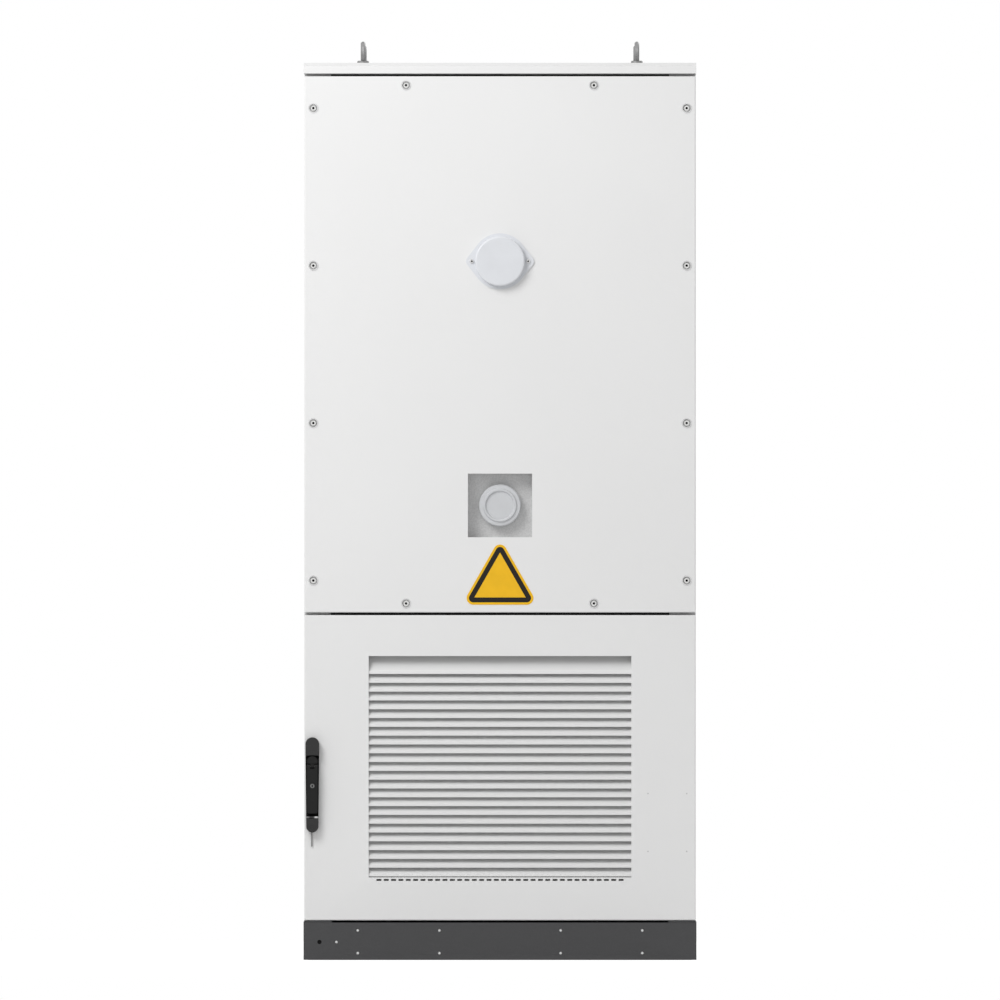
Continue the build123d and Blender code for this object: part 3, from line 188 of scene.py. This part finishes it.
def louvre_coat_with_painted_shade(name):
    """The paint of the louvres, with painted shade that darkens the header towards its top."""
    s = Shader(name, PAINT, 0.52)
    split = s.add("ShaderNodeSeparateXYZ")
    s.link(s.place, split.inputs[0])
    # painted shade: the colour darkens towards the top of the header
    shade = s.spread(split.outputs["Z"], 1.0, HEADER_PAINTED_SHADE, *HEADER_SPAN)
    node = s.add("ShaderNodeMix", data_type="RGBA", blend_type="MULTIPLY")
    node.inputs["Factor"].default_value = 1
    node.inputs["A"].default_value = (*PAINT, 1)
    s.link(shade, node.inputs["B"])
    s.link(node.outputs["Result"], s.bsdf.inputs["Base Color"])
    fine = s.noise(900, 4)
    s.bump(fine, 0.00006)
    s.tint(fine, 0.015)
    s.rough(s.noise(450, 2), 0.46, 0.60)
    s.bsdf.inputs["Specular IOR Level"].default_value = 0.3
    return s.material


def moulded(name, colour, roughness, grain=1400, depth=0.00004, gloss=0.5):
    """Injection-moulded plastic with a spark-eroded grain."""
    s = Shader(name, colour, roughness)
    s.bsdf.inputs["Specular IOR Level"].default_value = gloss
    fine = s.noise(grain, 3)
    s.bump(fine, depth)
    s.tint(s.noise(14, 3), 0.03)
    s.rough(fine, roughness - 0.06, roughness + 0.08)
    return s.material


def plated(name, colour, roughness):
    """Zinc plating, a little cloudy and worn."""
    s = Shader(name, colour, roughness, 0.85)
    cloud = s.noise(120, 4)
    s.tint(cloud, 0.10)
    s.rough(s.noise(300, 3), roughness - 0.08, roughness + 0.12)
    s.bump(s.noise(900, 3), 0.00003)
    return s.material


def galvanised(name, colour):
    """Hot-dip galvanised sheet with its spangle."""
    s = Shader(name, colour, 0.5, 0.35)
    spangle = s.cells(330)
    s.tint(spangle, 0.07)
    s.tint(s.noise(30, 3), 0.025)
    s.rough(spangle, 0.46, 0.62)
    s.bump(s.noise(420, 3), 0.00012)
    return s.material


def film(name, colour):
    """Printed film: a faint peel and a satin sheen."""
    s = Shader(name, colour, 0.42)
    s.bsdf.inputs["Specular IOR Level"].default_value = 0.12
    s.bump(s.noise(700, 2), 0.00003)
    s.tint(s.noise(30, 3), 0.03)
    s.rough(s.noise(60, 2), 0.36, 0.5)
    return s.material


def rubber(name, colour):
    s = Shader(name, colour, 0.8)
    s.bump(s.noise(900, 4), 0.0001)
    s.tint(s.noise(80, 3), 0.15)
    s.rough(s.noise(200, 2), 0.7, 0.9)
    return s.material


def filter_weave(name, colour):
    """A fibrous mat: noise drawn out along two directions."""
    s = Shader(name, colour, 0.95)
    s.bump(s.noise(260, 4, (1, 1, 6)), 0.0008)
    s.bump(s.noise(260, 4, (6, 1, 1)), 0.0008)
    s.tint(s.noise(400, 4), 0.35)
    s.rough(s.noise(300, 2), 0.85, 1.0)
    return s.material


def brushed(name, colour, roughness, metallic=1.0):
    """Metal with a grain along X."""
    s = Shader(name, colour, roughness, metallic)
    grain = s.noise(40, 4, (1, 20, 20))
    s.tint(grain, 0.07)
    s.rough(grain, roughness - 0.08, roughness + 0.08)
    s.bump(grain, 0.00004)
    return s.material


def stepped(s, value, stops):
    """Base colour from a value of 0 to 1 through grey stops."""
    ramp = s.add("ShaderNodeValToRGB")
    s.link(value, ramp.inputs["Fac"])
    elements = ramp.color_ramp.elements
    while len(elements) < len(stops):
        elements.new(0.5)
    for element, (position, grey) in zip(elements, stops):
        element.position = position
        element.color = (grey, grey, grey, 1)
    s.link(ramp.outputs["Color"], s.bsdf.inputs["Base Color"])


def ringed(name, axis, stops):
    """Metal whose tone changes with the distance from an axis along Y, as far as RING_REACH,
    painting rings of light and shade.
    """
    s = Shader(name, (stops[0][1],) * 3, 0.45, 0.6)
    offset = s.add("ShaderNodeVectorMath", operation="SUBTRACT")
    s.link(s.place, offset.inputs[0])
    offset.inputs[1].default_value = (axis[0], 0, axis[1])
    flat = s.add("ShaderNodeVectorMath", operation="MULTIPLY")
    s.link(offset.outputs[0], flat.inputs[0])
    flat.inputs[1].default_value = (1, 0, 1)
    reach = s.add("ShaderNodeVectorMath", operation="LENGTH")
    s.link(flat.outputs[0], reach.inputs[0])
    stepped(s, s.spread(reach.outputs["Value"], 0, 1, 0, RING_REACH), stops)
    s.bump(s.noise(900, 3), 0.00003)
    return s.material


def banded(name, ends, stops):
    """Polished metal whose tone changes along X between two ends, painting its shade and
    highlights.
    """
    s = Shader(name, (stops[0][1],) * 3, 0.35, 0.6)
    split = s.add("ShaderNodeSeparateXYZ")
    s.link(s.place, split.inputs[0])
    stepped(s, s.spread(split.outputs["X"], 0, 1, *ends), stops)
    s.bump(s.noise(900, 3), 0.00003)
    return s.material


def finishes():
    """Each finish with the CAD nodes that take it."""
    paint = powder_coat("paint", PAINT, 900, 0.00006, 0.52)
    plinth = powder_coat("plinth_paint", PLINTH, 500, 0.00015, 0.62)
    lever = moulded("lever_black", HANDLE_LEVER, 0.5, gloss=0.2)
    polymer = moulded("light_polymer", POLYMER, 0.4)
    zinc = plated("zinc", ZINC, 0.32)
    cup = plated("cup_zinc", CUP_ZINC, 0.45)
    galv = galvanised("galvanised", GALVANISED)
    seal = rubber("seal_rubber", RUBBER)
    return {
        paint: ["front_panel", "rear_panel", "side_panels", "roof", "door_skin", "top_plate"],
        louvre_coat_with_painted_shade("louvre_paint_with_painted_shade"): ["louvre_panel"],
        plinth: ["plinth_front", "plinth_rear", "plinth_sides", "plinth_corners"],
        moulded("handle_grey", HANDLE_HEAD, 0.5, gloss=0.3): ["handle_base"],
        lever: ["handle_turret", "handle_lever"],
        # painted shade at the lock's centre and rim, around a lighter ring
        ringed("lock_face_painted_shade", LOCK_AXIS, LOCK_PAINTED_RINGS): ["lock_barrel"],
        # painted shade in the band's middle and painted highlights at its ends, brightest near the
        # right end
        banded("band_steel_painted_light", BAND_ENDS, BAND_PAINTED_LIGHT): ["handle_band"],
        polymer: ["vent_cover"],
        moulded("cap_polymer", CAP_GREY, 0.4): ["filler_cap", "filler_spigot"],
        plated("eye_steel", EYE_STEEL, 0.6): ["lifting_eyes"],
        plated("lock_steel", LOCK_STEEL, 0.5): ["padlock_blade"],
        zinc: ["panel_screws", "hinge_frame_leaves", "hinge_door_leaves", "hinge_pins",
               "lock_rod_upper", "lock_rod_lower", "lever_pin", "module_links"],
        cup: ["screw_cups", "rivet_nuts", "vent_screws", "door_rivets"],
        galv: ["base_pan", "gland_plate", "corner_posts", "front_rails", "rear_rails", "side_rails",
               "divider_shelf", "recess_pan", "rack_runners", "rack_uprights", "lifting_blocks",
               "door_stiffeners", "rod_guides", "cooler_housing", "filter_rim"],
        seal: ["door_seal", "panel_seals", "gap_strips"],
        film("sign_yellow", YELLOW): ["sign_plate"],
        film("sign_black", BLACK): ["sign_border"],
        filter_weave("filter_mat", FILTER): ["filter_mat"],
        brushed("module_case", MODULE, 0.45, 0.3): ["battery_modules", "control_box"],
        brushed("coil_aluminium", ALUMINIUM, 0.4): ["cooling_coil"],
        moulded("fan_plastic", FAN, 0.5): ["fan_left", "fan_right", "fan_motors"],
    }


# ---- Small places on the front, in metres ----
HANDLE_FLOOR = FRONT - 0.008
CATCH_Z = 0.339
CATCH_RADIUS = 0.0036
PLUG_X = (0.1548, 0.3635)
PLUG_Z = (0.017, 0.075)
PLUG_VENT = (-0.418, 0.0455)
PLUG_EARTH = (-0.4614, 0.0455)
PLUG_HEAD = 0.0027
PLUG_HOLE = 0.0035
PLUG_EARTH_RADIUS = 0.0054
SCREW_REACH = 0.012
SOCKET_FLOOR = 0.545
PANEL_SOCKET = 0.0034
VENT_SOCKET = 0.0023
ROOF_EDGE = 0.0015
LOUVRE_EDGE = 0.0005
HANDLE_EDGE = 0.0012


# ---- Dressing the CAD nodes ----


def smooth(obj, angle=35):
    """Round faces shade smoothly, folds stay crisp."""
    obj.data.polygons.foreach_set("use_smooth", [True] * len(obj.data.polygons))
    obj.data.set_sharp_from_angle(angle=radians(angle))


def soften(obj, width, segments=3):
    """Fold and mould radii on the CAD edges."""
    bevel = obj.modifiers.new("edge", "BEVEL")
    bevel.width = width
    bevel.segments = segments
    bevel.limit_method = "ANGLE"
    bevel.angle_limit = radians(40)
    bevel.use_clamp_overlap = True
    bevel.harden_normals = False


def dress_nodes():
    for material, names in finishes().items():
        for name in names:
            node = NODES[name]
            node.data.materials.clear()
            node.data.materials.append(material)
            smooth(node)


def screw_axes(mesh):
    """The x and z of each screw's axis, and which end of the cabinet it is on."""
    boxes = []
    for vertex in mesh.vertices:
        x, y, z = vertex.co
        end = 1 if y > 0 else -1
        for box in boxes:
            near_x = box[0] - SCREW_REACH < x < box[1] + SCREW_REACH
            if box[4] == end and near_x and box[2] - SCREW_REACH < z < box[3] + SCREW_REACH:
                box[0], box[1] = min(box[0], x), max(box[1], x)
                box[2], box[3] = min(box[2], z), max(box[3], z)
                break
        else:
            boxes.append([x, x, z, z, end])
    return [((b[0] + b[1]) / 2, (b[2] + b[3]) / 2, b[4]) for b in boxes]


def darken_sockets(name, radius, dark):
    """The hexagon sockets of a node's screws are painted with shadow."""
    mesh = NODES[name].data
    mesh.materials.append(dark)
    axes = screw_axes(mesh)
    for face in mesh.polygons:
        x, y, z = face.center
        if abs(y) < SOCKET_FLOOR:
            continue
        for axis_x, axis_z, end in axes:
            if end * y > 0 and hypot(x - axis_x, z - axis_z) < radius:
                face.material_index = 1


def darken_handle_floor(dark, pin):
    """The handle's recessed floor is in shadow; the hole in its catch shows a steel pin."""
    mesh = NODES["handle_base"].data
    mesh.materials.append(dark)
    mesh.materials.append(pin)
    for face in mesh.polygons:
        x, y, z = face.center
        if hypot(x - HANDLE_X, z - CATCH_Z) < CATCH_RADIUS and y < HANDLE_FLOOR:
            face.material_index = 2
        elif face.normal.y < -0.9 and abs(y - HANDLE_FLOOR) < 0.001:
            face.material_index = 1


def turned_piece(name, points, places, material):
    """A profile of radius and y, spun about axes along Y through places of x and z."""
    steps = 20
    vertices, faces = [], []
    for place_x, place_z in places:
        start = len(vertices)
        for radius, y in points:
            for step in range(steps):
                angle = 2 * pi * step / steps
                vertices.append((place_x + radius * cos(angle), y, place_z + radius * sin(angle)))
        for ring in range(len(points) - 1):
            low = start + ring * steps
            for step in range(steps):
                after = (step + 1) % steps
                faces.append((low + step, low + after, low + steps + after, low + steps + step))
        faces.append(tuple(range(start, start + steps)))
        last = start + (len(points) - 1) * steps
        faces.append(tuple(reversed(range(last, last + steps))))
    mesh = bpy.data.meshes.new(name)
    mesh.from_pydata(vertices, [], faces)
    mesh.materials.append(material)
    obj = bpy.data.objects.new(name, mesh)
    bpy.context.scene.collection.objects.link(obj)
    smooth(obj)
    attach(obj, "cabinet")


def plinth_plugs():
    """Pale plugs in the plinth's small holes, and a black disc in the earth hole as its painted
    shadow.
    """
    places = [(side * x, z) for side in (-1, 1) for x in PLUG_X for z in PLUG_Z]
    pale = moulded("pale_nylon", PALE_NYLON, 0.5)
    head = PLUG_HEAD
    points = [(head - 0.0006, FRONT + 0.0002), (head, FRONT + 0.0008), (head, FRONT + 0.0016)]
    points += [(PLUG_HOLE, FRONT + 0.0016), (PLUG_HOLE, FRONT + 0.0028)]
    turned_piece("plinth_plugs", points, places + [PLUG_VENT], pale)
    # a black disc inside the earth hole as painted shadow
    black = moulded("earth_hole_painted_shadow", SHADOW_BLACK, 0.9, gloss=0.1)
    points = [(PLUG_EARTH_RADIUS, FRONT + 0.001), (PLUG_EARTH_RADIUS, FRONT + 0.0028)]
    turned_piece("earth_hole_shadow_disc", points, [PLUG_EARTH], black)


# ---- Floor, light and camera ----
SCALE = 2.555
LENS = 1500.0
SENSOR = 36.0
VIEW_HEIGHT = 1.1748
VIEW_REACH = 500
FLOOR_HALF = 4.0
FLOOR_Z = -0.001
FLOOR_GLOW = 0.86
FOOTPRINT = (0.49, 0.54)
AMBIENT = 0.55
KEY = {"place": (-2.5, -3.8, 4.3), "target": (0, -0.55, 1.5), "size": 2.6, "power": 150}
REAR = {"place": (3.5, 5.0, 4.5), "target": (0, 0.5, 1.2), "size": 2.5, "power": 160}


def white_ray(tree):
    """1 for rays that show the background: seen directly, in gloss or through glass."""
    path = tree.nodes.new("ShaderNodeLightPath")
    total = None
    for name in ("Is Camera Ray", "Is Glossy Ray", "Is Transmission Ray"):
        if total is None:
            total = path.outputs[name]
            continue
        node = tree.nodes.new("ShaderNodeMath")
        node.operation = "MAXIMUM"
        tree.links.new(total, node.inputs[0])
        tree.links.new(path.outputs[name], node.inputs[1])
        total = node.outputs[0]
    return total


def world(ambient):
    scene_world = bpy.data.worlds.new("studio")
    bpy.context.scene.world = scene_world
    scene_world.use_nodes = True
    tree = scene_world.node_tree
    back = tree.nodes["Background"]
    mix = tree.nodes.new("ShaderNodeMapRange")
    mix.inputs["To Min"].default_value = ambient
    mix.inputs["To Max"].default_value = 1.0
    tree.links.new(white_ray(tree), mix.inputs["Value"])
    tree.links.new(mix.outputs["Result"], back.inputs["Strength"])
    back.inputs["Color"].default_value = (1, 1, 1, 1)


def rectangle(half_x, half_y, z):
    """Corners of a level rectangle about the origin."""
    return [(-half_x, -half_y, z), (half_x, -half_y, z), (half_x, half_y, z), (-half_x, half_y, z)]


def floor():
    """A pale floor that shows white, with only the cabinet's shadow on it."""
    mesh = bpy.data.meshes.new("floor")
    mesh.from_pydata(rectangle(FLOOR_HALF, FLOOR_HALF, FLOOR_Z), [], [(0, 1, 2, 3)])
    obj = bpy.data.objects.new("floor", mesh)
    bpy.context.scene.collection.objects.link(obj)
    material = bpy.data.materials.new("floor")
    material.use_nodes = True
    tree = material.node_tree
    plain = tree.nodes["Principled BSDF"]
    plain.inputs["Base Color"].default_value = (0.75, 0.75, 0.75, 1)
    plain.inputs["Roughness"].default_value = 1
    shade = tree.nodes.new("ShaderNodeBsdfDiffuse")
    shade.inputs["Color"].default_value = (0.3, 0.3, 0.3, 1)
    glow = tree.nodes.new("ShaderNodeEmission")
    glow.inputs["Strength"].default_value = FLOOR_GLOW
    both = tree.nodes.new("ShaderNodeAddShader")
    tree.links.new(shade.outputs[0], both.inputs[0])
    tree.links.new(glow.outputs[0], both.inputs[1])
    mix = tree.nodes.new("ShaderNodeMixShader")
    tree.links.new(white_ray(tree), mix.inputs["Fac"])
    tree.links.new(plain.outputs[0], mix.inputs[1])
    tree.links.new(both.outputs[0], mix.inputs[2])
    tree.links.new(mix.outputs[0], tree.nodes["Material Output"].inputs["Surface"])
    mesh.materials.append(material)


def footprint():
    """Dull ground under the cabinet, seen only through the openings of its plinth."""
    mesh = bpy.data.meshes.new("footprint")
    mesh.from_pydata(rectangle(*FOOTPRINT, FLOOR_Z / 2), [], [(0, 1, 2, 3)])
    mesh.materials.append(powder_coat("concrete", CONCRETE, 60, 0.0004, 0.9))
    obj = bpy.data.objects.new("footprint", mesh)
    bpy.context.scene.collection.objects.link(obj)


def area_light(name, place, target, size, power):
    light = bpy.data.lights.new(name, "AREA")
    light.shape = "DISK"
    light.size = size
    light.energy = power
    obj = bpy.data.objects.new(name, light)
    obj.location = place
    obj.rotation_euler = (Vector(target) - Vector(place)).to_track_quat("-Z", "Y").to_euler()
    bpy.context.scene.collection.objects.link(obj)


def lights():
    world(AMBIENT)
    area_light("key", **KEY)
    area_light("rear", **REAR)


def camera():
    data = bpy.data.cameras.new("camera")
    data.lens = LENS
    data.sensor_width = SENSOR
    data.clip_end = VIEW_REACH
    obj = bpy.data.objects.new("camera", data)
    obj.location = (0, FRONT - SCALE * LENS / SENSOR, VIEW_HEIGHT)
    obj.rotation_euler = (pi / 2, 0, 0)
    bpy.context.scene.collection.objects.link(obj)
    bpy.context.scene.camera = obj


dress_nodes()
# painted shadow in the screws' hexagon sockets
socket_painted_shadow = moulded("socket_painted_shadow", SHADOW_BLACK, 0.9, gloss=0.1)
darken_sockets("panel_screws", PANEL_SOCKET, socket_painted_shadow)
darken_sockets("vent_screws", VENT_SOCKET, socket_painted_shadow)
handle_shadow = moulded("handle_shadow", SHADOW_BLACK, 0.9, gloss=0.05)
darken_handle_floor(handle_shadow, plated("pin", PIN_STEEL, 0.5))
plinth_plugs()
soften(NODES["roof"], ROOF_EDGE)
soften(NODES["louvre_panel"], LOUVRE_EDGE, 2)
for part in ("handle_base", "handle_turret", "handle_lever"):
    soften(NODES[part], HANDLE_EDGE)
floor()
footprint()
lights()
camera()
bpy.context.scene.view_settings.view_transform = "Standard"
